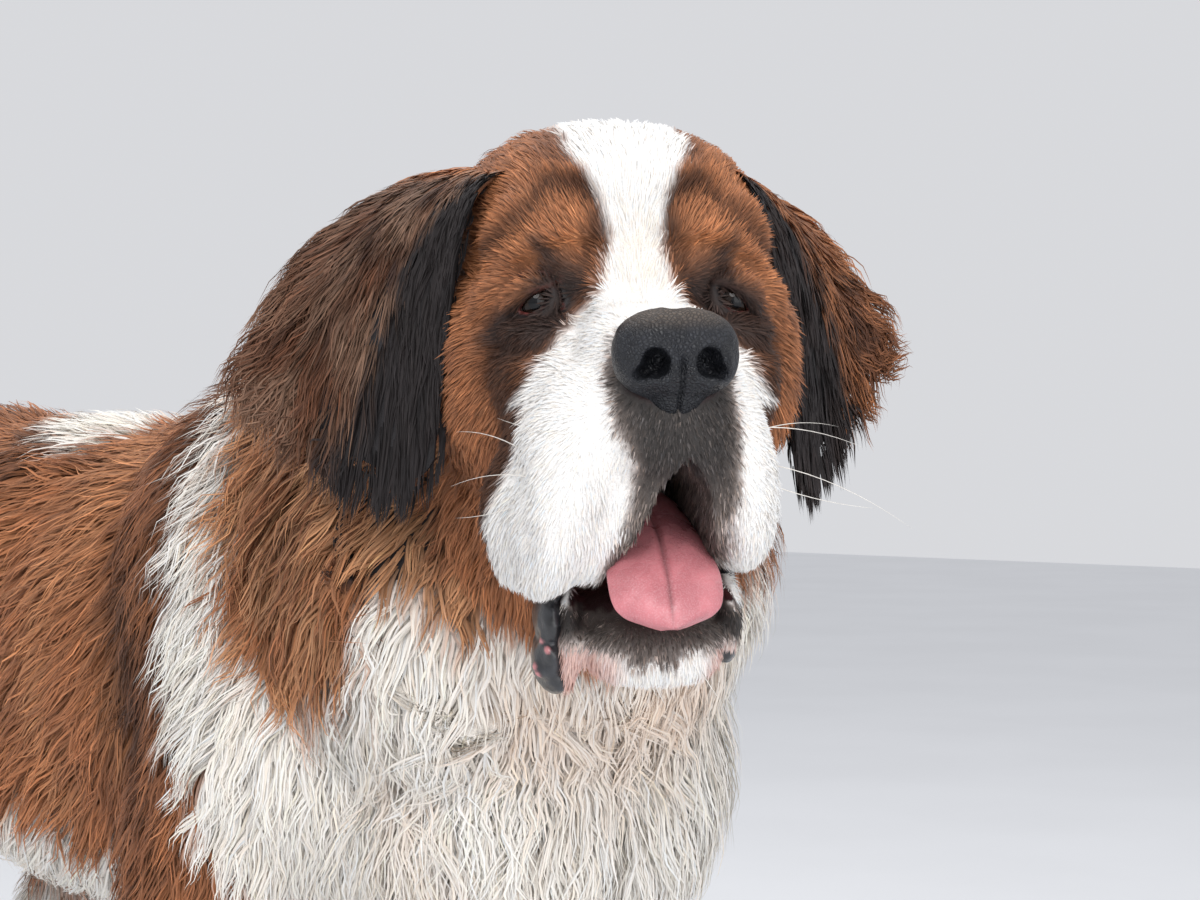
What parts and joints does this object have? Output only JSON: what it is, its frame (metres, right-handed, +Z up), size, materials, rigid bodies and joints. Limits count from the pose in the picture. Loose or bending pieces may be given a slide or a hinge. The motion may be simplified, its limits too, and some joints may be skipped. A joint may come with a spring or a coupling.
{
  "type": "saint bernard",
  "caption": "Long-haired Saint Bernard standing still with its head turned to its right and its mouth slightly open.",
  "frame": {"origin": "middle of the dog's footprint box, on the floor it stands on", "axes": "+Z up; the dog faces -Y, so +Y runs from nose to tail; +X is the dog's left"},
  "size_m": [0.4726, 1.4838, 0.9506],
  "materials": {
    "brown_coat": "orange-brown fur",
    "white_coat": "white fur",
    "dark_coat": "black and dark brown fur",
    "nose": "moist grained black skin",
    "tongue": "moist pink flesh",
    "eye": "wet dark eyeball",
    "claw": "dull dark horn"
  },
  "bodies": {
    "root": {"chest": "white_coat", "claw_forepaw_left_1": "claw", "claw_forepaw_left_2": "claw", "claw_forepaw_left_3": "claw", "claw_forepaw_left_4": "claw", "claw_forepaw_right_1": "claw", "claw_forepaw_right_2": "claw", "claw_forepaw_right_3": "claw", "claw_forepaw_right_4": "claw", "claw_hindpaw_left_1": "claw", "claw_hindpaw_left_2": "claw", "claw_hindpaw_left_3": "claw", "claw_hindpaw_left_4": "claw", "claw_hindpaw_right_1": "claw", "claw_hindpaw_right_2": "claw", "claw_hindpaw_right_3": "claw", "claw_hindpaw_right_4": "claw", "ear_left": "dark_coat", "ear_right": "dark_coat", "eye_left": "eye", "eye_right": "eye", "foreleg_left": "white_coat", "foreleg_right": "white_coat", "forepaw_left": "white_coat", "forepaw_right": "white_coat", "head": "brown_coat", "hindleg_left": "white_coat", "hindleg_right": "white_coat", "hindpaw_left": "white_coat", "hindpaw_right": "white_coat", "hindquarters": "brown_coat", "lower_jaw": "white_coat", "neck": "white_coat", "nose": "nose", "tail": "white_coat", "thigh_left": "white_coat", "thigh_right": "white_coat", "tongue": "tongue"}
  },
  "joints": []
}
